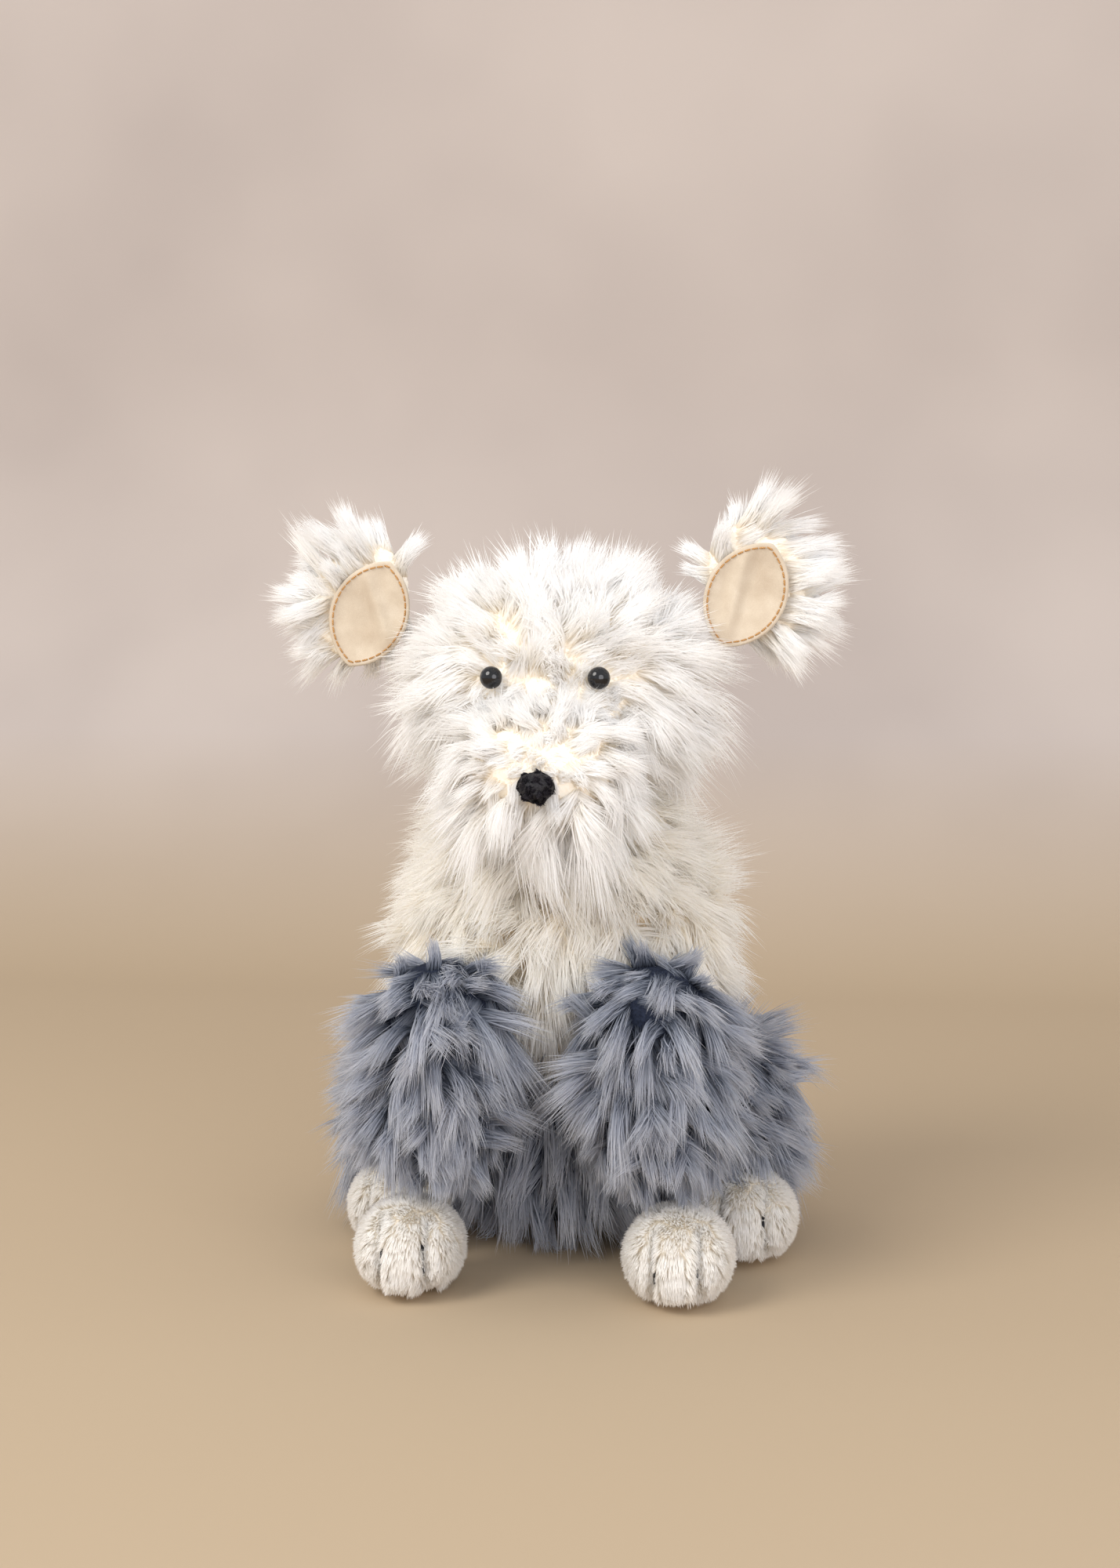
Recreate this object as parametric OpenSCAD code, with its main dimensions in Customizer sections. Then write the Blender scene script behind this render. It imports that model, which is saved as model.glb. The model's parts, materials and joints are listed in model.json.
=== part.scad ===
// Sitting plush sheepdog: sewn pile covers over stuffing, with safety eyes, a nose on a stem, lined ears,
// bean-filled paws and a bean bag in the seat. The origin is the middle of the seat's flat underside, which
// rests on z = 0. The dog faces -Y and its own left side is +X. A cover's wall is the backing cloth and its
// pile together.

/* [Body] */
// Width of the seat, over the pile
seat_w = 132; // [120:1:150]
// Depth of the seat, front to back
seat_d = 140; // [120:1:165]
// Height of the full seat shape, before its underside is pressed flat
seat_h = 140; // [124:1:160]
// How much of the seat's underside is pressed flat
seat_sink = 8; // [4:1:14]
// Width of the chest
chest_w = 142; // [124:1:164]
// Depth of the chest
chest_d = 112; // [96:1:128]
// Height of the chest shape
chest_h = 124; // [104:1:148]
// Height of the chest shape's middle
chest_z = 138; // [128:1:150]
// How far the chest's middle lies in front of the seat's
chest_fwd = 32; // [26:1:38]
// Height of the seam between the grey seat and the white chest
colour_seam_z = 116; // [104:1:126]

/* [Pile] */
// Backing and long pile together
long_pile = 12; // [8:0.5:15]
// Backing and short pile together
short_pile = 4; // [2.5:0.5:6]

/* [Neck and head] */
// Height at which the neck turns on the chest
neck_z = 168; // [162:1:172]
// Radius of the neck's dome
neck_r = 57; // [50:1:62]
// How far the nod axis lies below the turning plane
nod_drop = 8; // [4:1:12]
// How far the neck's axis lies in front of the seat's middle
neck_fwd = 36; // [30:1:42]
// Width of the head
head_w = 128; // [110:1:150]
// Depth of the head
head_d = 116; // [100:1:130]
// Height of the head
head_h = 110; // [98:1:126]
// Height of the head's middle
head_z = 242; // [236:1:252]
// How far the head's middle lies in front of the neck's axis
head_fwd = 12; // [6:1:18]
// Width of the muzzle
muzzle_w = 78; // [64:1:90]
// Depth of the muzzle shape
muzzle_d = 70; // [60:1:80]
// Height of the muzzle
muzzle_h = 60; // [50:1:66]
// Height of the muzzle's middle
muzzle_z = 212; // [208:1:220]
// How far the muzzle's middle lies in front of the head's
muzzle_fwd = 46; // [40:1:52]

/* [Eyes and nose] */
// Diameter of an eye's dome
eye_d = 10; // [8:0.5:13]
// Distance between the eyes' middles
eye_gap = 41; // [36:1:50]
// Height of the eyes
eye_z = 247; // [243:1:254]
// How far each eye turns outwards
eye_turn = 14; // [6:1:22]
// How deep the eyes sit below the pile's surface
eye_depth = 7; // [4:0.5:9]
// Diameter of the stems under the eyes and nose
stem_d = 3; // [2.5:0.1:4]
// How far a stem reaches past its washer
stem_end = 2; // [1:0.5:4]
// Diameter of the locking washers
washer_d = 12; // [10:0.5:16]
// Thickness of the locking washers
washer_t = 1.6; // [1.2:0.1:2.5]
// Width of the nose
nose_w = 18; // [14:1:22]
// Height of the nose
nose_h = 15; // [11:1:18]
// Height of the nose's middle
nose_z = 206; // [203:1:212]
// How deep the nose sits below the pile's surface
nose_depth = 6; // [4:0.5:8]
// How far the muzzle's panel reaches past the muzzle
muzzle_seam = 4; // [2:1:8]
// How far the muzzle's panel reaches back from the muzzle's middle
muzzle_panel_back = 26; // [20:1:32]

/* [Ears] */
// Width of an ear, from its seam to its outer edge
ear_w = 60; // [50:1:72]
// Height of an ear, along its seam
ear_h = 76; // [62:1:90]
// Thickness of an ear, over the pile
ear_t = 15; // [11:1:18]
// How far the left ear points above level
ear_left_lift = 28; // [20:1:38]
// How far the right ear points above level
ear_right_lift = 22; // [16:1:36]
// How far the ears stand behind the head's middle
ear_back_of_head = 8; // [2:1:14]
// Width of the ear's lining
lining_w = 36; // [30:1:42]
// Height of the ear's lining
lining_h = 48; // [40:1:54]
// How far the lining lies below the ear's middle
lining_drop = 3; // [0:1:5]
// Thickness of the ear's lining
lining_t = 1.4; // [0.8:0.1:2]

/* [Front legs] */
// Width of a front leg, over the pile
leg_w = 66; // [56:1:70]
// Depth of a front leg
leg_d = 64; // [54:1:70]
// Length of a front leg, shoulder to cuff
leg_l = 108; // [96:1:118]
// Distance of a front leg's middle from the middle of the dog
leg_out = 44; // [40:1:52]
// How far a front leg's middle lies in front of the seat's
leg_fwd = 90; // [86:1:96]
// Height of a front leg's middle
leg_z = 88; // [84:1:94]
// How far a front leg leans outwards towards its paw
leg_lean = 4; // [0:1:7]
// How far the shoulder's axis lies above the leg's middle
shoulder_up = 22; // [18:1:26]

/* [Hind legs] */
// Diameter of a thigh, seen from the side
thigh_d = 100; // [86:1:108]
// Thickness of a thigh shape, before its inner face is cut flat
thigh_t = 74; // [62:1:84]
// How far a thigh's middle lies outside its flat hip face
thigh_out = 21; // [16:1:26]
// Height of the hip
hip_z = 52; // [50:1:58]
// How far the hip lies in front of the seat's middle
hip_fwd = 2; // [-4:1:8]
// How deep the flat hip faces lie in the seat's sides
hip_sink = 20; // [14:1:24]
// How far the left hind paw's middle lies outside the seat's side
hind_paw_left_out = 12; // [8:1:18]
// How far the right hind paw's middle lies outside the seat's side
hind_paw_right_out = 4; // [2:1:14]
// How far a hind paw's middle lies in front of the seat's
hind_paw_fwd = 40; // [36:1:42]

/* [Paws] */
// Width of a paw
paw_w = 46; // [38:1:50]
// Length of a paw
paw_l = 52; // [44:1:56]
// Height of a paw shape, before its sole is pressed flat
paw_h = 42; // [36:1:48]
// How much of a sole is pressed flat
paw_sink = 2; // [1:0.5:4]
// Distance of a front paw from the middle of the dog
front_paw_out = 54; // [50:1:60]
// How far a front paw's middle lies in front of the seat's
front_paw_fwd = 100; // [94:1:104]
// Thickness of the toe thread
thread_d = 1.2; // [0.8:0.1:2]
// Share of a paw's half width at which the toe threads lie
toe_share = 0.4; // [0.3:0.05:0.5]

/* [Filling] */
// Gap between the bean bag and the seat's walls
bean_bag_gap = 3; // [2:0.5:6]
// Height of the bean bag
bean_bag_h = 26; // [20:1:30]
// Thickness of the bean bag's cloth
bag_cloth = 0.8; // [0.5:0.1:1.5]

/* [Hidden] */

$fn = 48;
far = 400;              // larger than the dog, for cutting planes
fit = 0.3;              // clearance between pieces that lie in each other
swing = 0.8;            // clearance between pieces that move past each other
stem_clear = 0.05;      // radial clearance of a stem in its washer and cloth
LEFT = 1;
RIGHT = -1;

white_pile = "ivory";
grey_pile = "slategray";
fibre = "whitesmoke";
suedette = "tan";
tan_thread = "peru";
bean = "lightsteelblue";
black = "#101012";

seat_at = [0, 0, seat_h / 2 - seat_sink];
seat_size = [seat_w, seat_d, seat_h] / 2;
chest_at = [0, -chest_fwd, chest_z];
chest_size = [chest_w, chest_d, chest_h] / 2;
nod_at = [0, -neck_fwd, neck_z - nod_drop];
head_at = [0, -neck_fwd - head_fwd, head_z];
head_size = [head_w, head_d, head_h] / 2;
muzzle_at = [0, head_at.y - muzzle_fwd, muzzle_z];
muzzle_size = [muzzle_w, muzzle_d, muzzle_h] / 2;
leg_size = [leg_w, leg_d, leg_l] / 2;
thigh_size = [thigh_d, thigh_d, thigh_t] / 2;
paw_size = [paw_w, paw_l, paw_h] / 2;
paw_z = paw_size.z - paw_sink;
shoulder_r = max(leg_size.x, leg_size.y) + swing;
ear_size = [ear_w * 0.57, ear_h / 2, ear_t / 2];
ear_cut = sqrt(1 - pow(ear_w / ear_size.x - 1, 2));  // share of an ear's size left at its seam
ear_root = [ear_size.z * ear_cut + fit, ear_size.y * ear_cut + fit, ear_size.z * ear_cut + fit];
lining_bed = ear_size.z * 0.4;
lining_r = (lining_w * lining_w + lining_h * lining_h) / (4 * lining_w);  // radius of the lining's two edges
hip_face = seat_w / 2 - hip_sink;
bean_bag_d = 2 * (hip_face - long_pile - bean_bag_gap);

// ---------------------------------------------------------------- shapes that repeat

// An ellipsoid of these half sizes, grown by grow all round. turn carries its join line round, clear of the
// edges that other pieces cut in it.
module egg(half, grow = 0, turn = 0) {
    scale([half.x + grow, half.y + grow, half.z + grow]) rotate([0, 0, turn]) sphere(r = 1);
}

// Everything above a height.
module above(z) {
    translate([-far / 2, -far / 2, z]) cube(far);
}

// Everything below a height.
module below(z) {
    translate([-far / 2, -far / 2, z - far]) cube(far);
}

// A stem along -Z under a dome that stands on z = 0, for a washer at this depth.
module stem(depth) {
    length = depth + washer_t + stem_end;
    translate([0, 0, -length]) cylinder(d = stem_d, h = length);
}

// The hole that a cover has round a dome and its stem.
module stem_hole(dome_d, depth) {
    length = depth + washer_t + stem_end;
    cylinder(d = dome_d + 2, h = far);
    translate([0, 0, -length]) cylinder(d = stem_d + 2 * stem_clear, h = length + 1);
}

// A locking washer whose upper face lies at z = -depth.
module washer(depth) {
    translate([0, 0, -depth - washer_t])
        difference() {
            cylinder(d = washer_d, h = washer_t);
            translate([0, 0, -1]) cylinder(d = stem_d + 2 * stem_clear, h = washer_t + 2);
        }
}

// The room that a stem and its washer need in the stuffing.
module washer_room(depth) {
    length = depth + washer_t + stem_end + 2 * fit;
    translate([0, 0, -length]) cylinder(d = stem_d + 4 * fit, h = length);
    translate([0, 0, -depth - washer_t - 2 * fit]) cylinder(d = washer_d + 4 * fit, h = far);
}

// How far a point has to move along a direction before it is inside an ellipsoid of these half sizes.
function scaled(v, half) = [v.x / half.x, v.y / half.y, v.z / half.z];
function way_in(half, point, direction) =
    let (p = scaled(point, half), d = scaled(direction, half))
    (-p * d - sqrt(pow(p * d, 2) - (d * d) * (p * p - 1))) / (d * d);

// The depth at which a whole washer lies inside the wall of a form with these half sizes. at is the middle of
// the dome's foot from the form's middle, and turn is how far the dome turns outwards.
function washer_depth(half, at, turn) =
    max([for (a = [0:15:345])
        way_in(half - long_pile * [1, 1, 1],
               at + (washer_d / 2 + fit) * [cos(a) * cos(turn), cos(a) * sin(turn), sin(a)],
               [sin(turn), cos(turn), 0])
    ]) + fit;

// ---------------------------------------------------------------- where the pieces go

// Pieces of one side are built on the right, at -X, and mirrored for the left.
module on_side(side) {
    mirror([side == LEFT ? 1 : 0, 0, 0]) children();
}

module at_front_leg() {
    translate([-leg_out, -leg_fwd, leg_z]) rotate([0, leg_lean, 0]) children();
}

module at_front_paw() {
    translate([-front_paw_out, -front_paw_fwd, paw_z]) children();
}

// A hip's frame: +Z runs outwards along the line that the thigh turns on.
module at_hip() {
    translate([-hip_face - thigh_out, -hip_fwd, hip_z]) rotate([0, -90, 0]) children();
}

module at_hind_paw(side) {
    out = seat_w / 2 + (side == LEFT ? hind_paw_left_out : hind_paw_right_out);
    translate([-out, -hind_paw_fwd, paw_z]) children();
}

// The cloth under an eye: +Z points out of the head.
eye_from_head = [
    -eye_gap / 2,
    eye_depth
        - head_size.y * sqrt(1 - pow(eye_gap / 2 / head_size.x, 2) - pow((eye_z - head_z) / head_size.z, 2)),
    eye_z - head_z
];
eye_washer_depth = washer_depth(head_size, eye_from_head, eye_turn);

module at_eye() {
    translate(head_at + eye_from_head) rotate([90, 0, -eye_turn]) children();
}

// The cloth under the nose: +Z points forwards.
nose_from_muzzle = [
    0,
    nose_depth - muzzle_size.y * sqrt(1 - pow((nose_z - muzzle_z) / muzzle_size.z, 2)),
    nose_z - muzzle_z
];
nose_washer_depth = washer_depth(muzzle_size, nose_from_muzzle, 0);

module at_nose() {
    translate(muzzle_at + nose_from_muzzle) rotate([90, 0, 0]) children();
}

// An ear's frame: its origin is the middle of its seam, +X runs to its outer edge, +Y down along the seam,
// and +Z to the lined front.
module at_ear(side) {
    lift = side == LEFT ? ear_left_lift : ear_right_lift;
    reach = norm([cos(lift) * head_size.x, sin(lift) * head_size.z]) + swing + ear_root.x;
    translate(head_at + [0, ear_back_of_head, 0])
        rotate([90, 180 + lift, 0])
            translate([reach, 0, 0])
                children();
}

// ---------------------------------------------------------------- body

// The seat and chest together, grown or shrunk, with the underside pressed flat.
module pear(grow) {
    difference() {
        union() {
            translate(seat_at) egg(seat_size, grow);
            translate(chest_at) egg(chest_size, grow);
        }
        below(-min(grow, 0));
        above(neck_z + min(grow, 0));
    }
}

// The hollows that the shoulders and hips lie in.
module limb_hollows(grow) {
    for (side = [LEFT, RIGHT])
        on_side(side) {
            at_front_leg() {
                egg(leg_size, swing + grow, -90);
                translate([0, 0, shoulder_up]) rotate([0, 0, -90]) sphere(r = shoulder_r + grow);
            }
            intersection() {
                at_hip() egg(thigh_size, swing + grow);
                translate([-far / 2 - hip_face + grow, 0, 0]) cube(far, center = true);
            }
        }
}

module body_inside(clear) {
    difference() {
        pear(-long_pile - clear);
        limb_hollows(long_pile + clear);
    }
}

module body_shell() {
    difference() {
        pear(0);
        limb_hollows(0);
        body_inside(0);
    }
}

module lower_body_cover() {
    color(grey_pile)
        intersection() {
            body_shell();
            below(colour_seam_z);
        }
}

module upper_body_cover() {
    color(white_pile)
        intersection() {
            body_shell();
            above(colour_seam_z);
        }
}

module bean_bag(grow) {
    translate([0, 0, long_pile + bean_bag_gap + bean_bag_h / 2])
        egg([bean_bag_d, bean_bag_d, bean_bag_h] / 2, grow);
}

module body_stuffing() {
    color(fibre)
        difference() {
            body_inside(fit);
            bean_bag(fit);
        }
}

module bean_bag_cover() {
    color(fibre)
        difference() {
            bean_bag(0);
            bean_bag(-bag_cloth);
        }
}

module bean_pellets() {
    color(bean) bean_bag(-bag_cloth - fit);
}

// ---------------------------------------------------------------- neck and head

// The dome that the head nods on.
module neck_dome(grow, lift) {
    intersection() {
        translate(nod_at) sphere(r = neck_r + grow);
        above(neck_z + lift);
    }
}

module neck_cover() {
    color(white_pile)
        difference() {
            neck_dome(0, swing);
            neck_dome(-long_pile, swing + long_pile);
        }
}

module neck_stuffing() {
    color(fibre) neck_dome(-long_pile - fit, swing + long_pile + fit);
}

// The head and muzzle together, grown or shrunk, hollowed below for the neck's dome.
module head_form(grow) {
    difference() {
        union() {
            translate(head_at) egg(head_size, grow);
            translate(muzzle_at) egg(muzzle_size, grow, 90);
        }
        translate(nod_at) sphere(r = neck_r + swing - grow);
    }
}

module head_shell() {
    difference() {
        head_form(0);
        head_form(-long_pile);
        for (side = [LEFT, RIGHT])
            on_side(side) at_eye() stem_hole(eye_d, eye_washer_depth);
        at_nose() stem_hole(nose_w, nose_washer_depth);
    }
}

// The part of the head's front that the muzzle's panel covers.
module muzzle_panel(grow) {
    translate(muzzle_at + [0, muzzle_panel_back - far, 0])
        rotate([-90, 0, 0])
            scale([muzzle_size.x + muzzle_seam + grow, muzzle_size.z + muzzle_seam + grow, 1])
                cylinder(r = 1, h = far);
}

module head_cover() {
    color(white_pile)
        difference() {
            head_shell();
            muzzle_panel(0);
        }
}

module muzzle_cover() {
    color(white_pile)
        intersection() {
            head_shell();
            muzzle_panel(-fit / 3);
        }
}

module head_stuffing() {
    color(fibre)
        difference() {
            head_form(-long_pile - fit);
            for (side = [LEFT, RIGHT])
                on_side(side) at_eye() washer_room(eye_washer_depth);
            at_nose() washer_room(nose_washer_depth);
        }
}

module eye(side) {
    color(black)
        on_side(side)
            at_eye() {
                intersection() {
                    egg([eye_d / 2, eye_d / 2, eye_d * 0.42]);
                    cylinder(d = eye_d + 1, h = eye_d);
                }
                stem(eye_washer_depth);
            }
}

module eye_washer(side) {
    color(fibre) on_side(side) at_eye() washer(eye_washer_depth);
}

module nose() {
    color(black)
        at_nose() {
            intersection() {
                egg([nose_w / 2, nose_h / 2, nose_h * 0.55]);
                cylinder(d = nose_w + 1, h = nose_h);
            }
            stem(nose_washer_depth);
        }
}

module nose_washer() {
    color(fibre) at_nose() washer(nose_washer_depth);
}

// ---------------------------------------------------------------- ears

// The leaf-shaped outline of the lining, between two round edges, standing on its bed in the ear's front.
module lining_outline(grow, height) {
    translate([lining_w / 2 + ear_root.x / 2, lining_drop, lining_bed])
        intersection_for(side = [LEFT, RIGHT])
            translate([side * (lining_r - lining_w / 2), 0, 0]) cylinder(r = lining_r + grow, h = height);
}

module ear_back(side) {
    color(white_pile)
        on_side(side)
            at_ear(side)
                difference() {
                    union() {
                        intersection() {
                            translate([ear_w - ear_size.x, 0, 0]) egg(ear_size, 0, 180);
                            translate([0, -far / 2, -far / 2]) cube(far);
                        }
                        egg(ear_root, 0, 180);
                    }
                    lining_outline(fit, far);
                }
}

module ear_lining(side) {
    color(suedette)
        on_side(side) at_ear(side) translate([0, 0, fit]) lining_outline(-thread_d - fit, lining_t);
}

module ear_stitching(side) {
    color(tan_thread)
        on_side(side)
            at_ear(side)
                translate([0, 0, fit])
                    difference() {
                        lining_outline(0, thread_d);
                        translate([0, 0, -1]) lining_outline(-thread_d, thread_d + 2);
                    }
}

// ---------------------------------------------------------------- front legs

module front_leg_cover(side) {
    color(grey_pile)
        on_side(side)
            difference() {
                at_front_leg() egg(leg_size);
                at_front_leg() egg(leg_size, -long_pile);
                at_front_paw() egg(paw_size, fit);
            }
}

module front_leg_stuffing(side) {
    color(fibre)
        on_side(side)
            difference() {
                at_front_leg() egg(leg_size, -long_pile - fit);
                at_front_paw() egg(paw_size, fit);
            }
}

// A paw's outer shape, grown or shrunk, with its sole pressed flat.
module paw(grow) {
    difference() {
        egg(paw_size, grow);
        below(-paw_z - min(grow, 0));
    }
}

// The lines that the two toe threads follow over a paw's front, as wide and deep as given.
module toe_lines(width, depth) {
    intersection() {
        difference() {
            egg(paw_size, fit, 90);
            egg(paw_size, -depth, 90);
        }
        for (side = [LEFT, RIGHT])
            translate([side * toe_share * paw_size.x - width / 2, -far, -paw_size.z * 0.4])
                cube([width, far - paw_size.y * 0.35, far]);
    }
}

module paw_cover() {
    color(white_pile)
        difference() {
            paw(0);
            paw(-short_pile);
            toe_lines(thread_d + 2 * fit, thread_d + fit);
        }
}

module paw_beans() {
    color(bean) paw(-short_pile - fit);
}

module toe_threads() {
    color(black) toe_lines(thread_d, thread_d);
}

module front_paw_cover(side) {
    on_side(side) at_front_paw() paw_cover();
}

module front_paw_beans(side) {
    on_side(side) at_front_paw() paw_beans();
}

module front_toe_threads(side) {
    on_side(side) at_front_paw() toe_threads();
}

// ---------------------------------------------------------------- hind legs

// A thigh: a round bag with a flat inner face, which it turns on.
module thigh_form(grow) {
    intersection() {
        at_hip() egg(thigh_size, grow);
        translate([-far / 2 - hip_face - swing + grow, 0, 0]) cube(far, center = true);
    }
}

module thigh_cover(side) {
    color(grey_pile)
        on_side(side)
            difference() {
                thigh_form(0);
                thigh_form(-long_pile);
                at_hind_paw(side) egg(paw_size, fit);
            }
}

module thigh_stuffing(side) {
    color(fibre)
        on_side(side)
            difference() {
                thigh_form(-long_pile - fit);
                at_hind_paw(side) egg(paw_size, fit);
            }
}

module hind_paw_cover(side) {
    on_side(side) at_hind_paw(side) paw_cover();
}

module hind_paw_beans(side) {
    on_side(side) at_hind_paw(side) paw_beans();
}

module hind_toe_threads(side) {
    on_side(side) at_hind_paw(side) toe_threads();
}

// ---------------------------------------------------------------- nodes

lower_body_cover();
upper_body_cover();
body_stuffing();
bean_bag_cover();
bean_pellets();
neck_cover();
neck_stuffing();
head_cover();
head_stuffing();
muzzle_cover();
eye(LEFT);  // eye_left
eye(RIGHT);  // eye_right
eye_washer(LEFT);  // eye_washer_left
eye_washer(RIGHT);  // eye_washer_right
nose();
nose_washer();
ear_back(LEFT);  // ear_back_left
ear_lining(LEFT);  // ear_lining_left
ear_stitching(LEFT);  // ear_stitching_left
ear_back(RIGHT);  // ear_back_right
ear_lining(RIGHT);  // ear_lining_right
ear_stitching(RIGHT);  // ear_stitching_right
front_leg_cover(LEFT);  // front_leg_cover_left
front_leg_stuffing(LEFT);  // front_leg_stuffing_left
front_paw_cover(LEFT);  // front_paw_cover_left
front_paw_beans(LEFT);  // front_paw_beans_left
front_toe_threads(LEFT);  // front_toe_threads_left
front_leg_cover(RIGHT);  // front_leg_cover_right
front_leg_stuffing(RIGHT);  // front_leg_stuffing_right
front_paw_cover(RIGHT);  // front_paw_cover_right
front_paw_beans(RIGHT);  // front_paw_beans_right
front_toe_threads(RIGHT);  // front_toe_threads_right
thigh_cover(LEFT);  // thigh_cover_left
thigh_stuffing(LEFT);  // thigh_stuffing_left
hind_paw_cover(LEFT);  // hind_paw_cover_left
hind_paw_beans(LEFT);  // hind_paw_beans_left
hind_toe_threads(LEFT);  // hind_toe_threads_left
thigh_cover(RIGHT);  // thigh_cover_right
thigh_stuffing(RIGHT);  // thigh_stuffing_right
hind_paw_cover(RIGHT);  // hind_paw_cover_right
hind_paw_beans(RIGHT);  // hind_paw_beans_right
hind_toe_threads(RIGHT);  // hind_toe_threads_right
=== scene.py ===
import json
import math

import bmesh
import bpy
import numpy as np
from mathutils import Euler, Matrix, Vector, noise


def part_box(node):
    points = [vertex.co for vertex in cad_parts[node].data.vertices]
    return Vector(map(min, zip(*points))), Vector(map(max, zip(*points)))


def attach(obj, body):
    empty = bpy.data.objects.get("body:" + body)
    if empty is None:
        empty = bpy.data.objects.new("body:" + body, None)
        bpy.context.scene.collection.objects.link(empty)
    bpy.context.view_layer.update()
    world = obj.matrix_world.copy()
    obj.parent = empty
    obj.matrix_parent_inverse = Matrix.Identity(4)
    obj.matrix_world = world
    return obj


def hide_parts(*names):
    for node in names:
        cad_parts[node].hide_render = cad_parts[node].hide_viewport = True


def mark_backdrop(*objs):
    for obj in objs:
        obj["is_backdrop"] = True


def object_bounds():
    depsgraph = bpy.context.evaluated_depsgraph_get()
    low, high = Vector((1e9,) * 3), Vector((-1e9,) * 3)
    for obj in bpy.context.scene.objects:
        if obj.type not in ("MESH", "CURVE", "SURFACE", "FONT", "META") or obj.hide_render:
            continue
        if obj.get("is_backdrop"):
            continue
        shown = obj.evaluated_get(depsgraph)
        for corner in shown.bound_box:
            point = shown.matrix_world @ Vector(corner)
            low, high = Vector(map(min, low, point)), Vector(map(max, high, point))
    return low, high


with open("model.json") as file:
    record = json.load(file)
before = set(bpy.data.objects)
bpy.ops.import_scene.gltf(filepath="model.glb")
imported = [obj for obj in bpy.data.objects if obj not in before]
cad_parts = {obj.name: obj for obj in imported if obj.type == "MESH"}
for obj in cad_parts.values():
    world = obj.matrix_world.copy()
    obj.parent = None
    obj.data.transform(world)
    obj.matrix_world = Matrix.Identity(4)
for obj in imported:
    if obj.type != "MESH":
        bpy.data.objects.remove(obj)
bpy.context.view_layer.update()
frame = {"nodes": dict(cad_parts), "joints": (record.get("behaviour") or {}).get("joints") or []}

# ---------------------------------------------------------------------------------------------------------
# The stage: one pale sweep of floor and wall, a large soft lamp to the upper left, a weaker one on the
# right, an even sky, and a camera a little above the dog's chest, looking slightly down.

MM = 0.001


def linear(hex_colour, alpha=1.0):
    """An sRGB colour such as 'd8bf9d' as linear values."""
    parts = [int(hex_colour[i:i + 2], 16) / 255 for i in (0, 2, 4)]
    return [c / 12.92 if c <= 0.04045 else ((c + 0.055) / 1.055) ** 2.4 for c in parts] + [alpha]


def first_open(sockets, key):
    """The socket with this index or name that the node's settings leave in use."""
    if isinstance(key, int):
        return [s for s in sockets if s.enabled][key]
    return next(s for s in sockets if s.enabled and s.name == key)


def put(tree, kind, settings=None, links=None):
    """Adds a node with its settings, and links or sets its inputs. Returns the node."""
    made = tree.nodes.new(kind)
    for key, value in (settings or {}).items():
        setattr(made, key, value)
    for key, value in (links or {}).items():
        socket = first_open(made.inputs, key)
        if isinstance(value, bpy.types.Node):
            value = first_open(value.outputs, 0)
        if isinstance(value, bpy.types.NodeSocket):
            tree.links.new(value, socket)
        else:
            socket.default_value = value
    return made


def material(name):
    """An empty material's tree, and the material."""
    made = bpy.data.materials.new(name)
    made.use_nodes = True
    made.node_tree.nodes.clear()
    return made, made.node_tree


def ramp(tree, factor, stops):
    """A colour ramp over (place, sRGB hex) stops."""
    made = put(tree, "ShaderNodeValToRGB", links={0: factor})
    points = made.color_ramp.elements
    while len(points) < len(stops):
        points.new(0.5)
    for point, (place, colour) in zip(points, stops):
        point.position = place
        point.color = linear(colour)
    return made


def finish_surface(tree, shader, height=None):
    """Closes a material's tree with its surface."""
    put(tree, "ShaderNodeOutputMaterial", links={"Surface": shader})


def add_object(name, mesh):
    made = bpy.data.objects.new(name, mesh)
    bpy.context.scene.collection.objects.link(made)
    return made


def sweep_profile():
    """The floor, its curve and the wall, from front to back."""
    bend, back, depth, height = 0.5, 0.55, 2.4, 2.6
    steps = 24
    points = [(-depth, 0.0), (back, 0.0)]
    for i in range(1, steps + 1):
        a = math.radians(90) * i / steps
        points.append((back + bend * math.sin(a), bend * (1 - math.cos(a))))
    points.append((back + bend, height))
    return points


half_width = 3.0
profile = sweep_profile()
sweep = bpy.data.meshes.new("sweep")
sweep.from_pydata(
    [(x, y, z) for y, z in profile for x in (-half_width, half_width)],
    [],
    [(2 * i, 2 * i + 1, 2 * i + 3, 2 * i + 2) for i in range(len(profile) - 1)],
)
sweep.polygons.foreach_set("use_smooth", [True] * len(sweep.polygons))
backdrop = add_object("backdrop", sweep)
paper, tree = material("backdrop_paper")
where = put(tree, "ShaderNodeTexCoord")
mottle = put(tree, "ShaderNodeTexNoise", links={"Vector": where.outputs["Object"], "Scale": 2.2, "Detail": 3.0})
shade = ramp(tree, mottle.outputs[0], [(0.35, "b4a9a3"), (0.65, "c3b8b1")])
height = put(tree, "ShaderNodeSeparateXYZ", links={0: where.outputs["Object"]})
floorness = put(tree, "ShaderNodeMapRange", links={
    "Value": height.outputs["Z"], "From Min": 0.0, "From Max": 0.16, "To Min": 0.0, "To Max": 1.0})
both = put(tree, "ShaderNodeMix", {"data_type": "RGBA"}, {
    "Factor": floorness, "A": linear("b4a188"), "B": shade})
matt = put(tree, "ShaderNodeBsdfPrincipled", links={"Base Color": both, "Roughness": 0.9, "Specular IOR Level": 0.1})
finish_surface(tree, matt)
sweep.materials.append(paper)
backdrop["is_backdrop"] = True


def lamp(name, place, size, watts, colour):
    made = bpy.data.lights.new(name, "AREA")
    made.shape = "DISK"
    made.size = size
    made.energy = watts
    made.color = linear(colour)[:3]
    placed = add_object(name, made)
    placed.location = place
    aim = Vector((0, -0.04, 0.16)) - placed.location
    placed.rotation_euler = aim.to_track_quat("-Z", "Y").to_euler()
    return placed


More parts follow.
